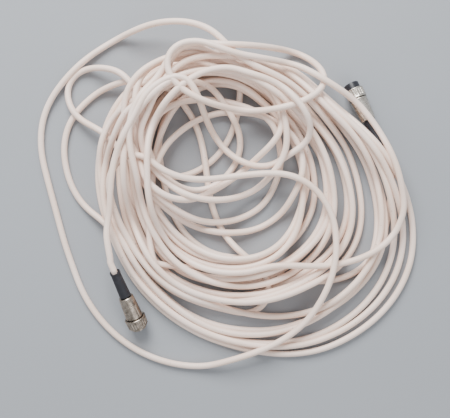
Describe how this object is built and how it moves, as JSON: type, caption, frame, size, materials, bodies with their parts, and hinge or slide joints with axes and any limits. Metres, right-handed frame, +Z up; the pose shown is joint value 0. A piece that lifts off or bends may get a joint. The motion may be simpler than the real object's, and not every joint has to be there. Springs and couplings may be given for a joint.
{
  "type": "speaker cable roll",
  "caption": "Loose roll of round off-white speaker cable with a locking pin plug on one end and a locking socket plug on the other.",
  "frame": {"origin": "centre of the whole footprint, on the level surface that the roll lies on", "axes": "+Z up from the surface, +X to the socket plug's side of the roll, +Y away from the pin plug"},
  "size_m": [0.327, 0.3044, 0.038],
  "materials": {
    "cable_jacket": "satin extruded PVC, warm off-white",
    "boot_rubber": "matt black moulded rubber",
    "nickel_plate": "bright nickel plate, slightly worn",
    "insulator_plastic": "matt blue-black moulded plastic",
    "contact_plate": "plated contact"
  },
  "bodies": {
    "cable": {"wound_roll": "cable_jacket", "small_left_loop": "cable_jacket", "second_left_loop": "cable_jacket", "strand_under_bore": "cable_jacket", "strand_down_bore": "cable_jacket", "wide_inner_turn": "cable_jacket", "middle_inner_turn": "cable_jacket", "short_inner_turn": "cable_jacket", "slanting_strand": "cable_jacket", "upper_inner_turn": "cable_jacket", "strand_over_plug": "cable_jacket", "top_right_loop": "cable_jacket", "big_outer_loop": "cable_jacket", "lead_from_pin_plug": "cable_jacket", "lead_from_socket_plug": "cable_jacket", "boot_pin_plug": "boot_rubber", "body_pin_plug": "nickel_plate", "body_screw_pin_plug": "nickel_plate", "shield_pin_plug": "nickel_plate", "insulator_pin_plug": "insulator_plastic", "contact_pin_1": "contact_plate", "contact_pin_2": "contact_plate", "contact_pin_3": "contact_plate", "contact_pin_4": "contact_plate", "contact_pin_5": "contact_plate", "contact_pin_6": "contact_plate", "contact_pin_7": "contact_plate", "contact_pin_8": "contact_plate", "boot_socket_plug": "boot_rubber", "body_socket_plug": "nickel_plate", "body_screw_socket_plug": "nickel_plate", "nose_socket_plug": "insulator_plastic"},
    "pin_plug_ring": {"coupling_ring_pin_plug": "nickel_plate"},
    "socket_plug_ring": {"coupling_ring_socket_plug": "nickel_plate"}
  },
  "joints": [
    {"name": "pin_plug_ring_turn", "type": "hinge", "parent": "cable", "child": "pin_plug_ring", "pos_m": [-0.0758, -0.1135, 0.0092], "axis": [0.3244, -0.8686, -0.3746], "continuous": true},
    {"name": "socket_plug_ring_turn", "type": "hinge", "parent": "cable", "child": "socket_plug_ring", "pos_m": [0.1091, 0.0889, 0.0084], "axis": [-0.4136, 0.8937, -0.1736], "continuous": true}
  ]
}
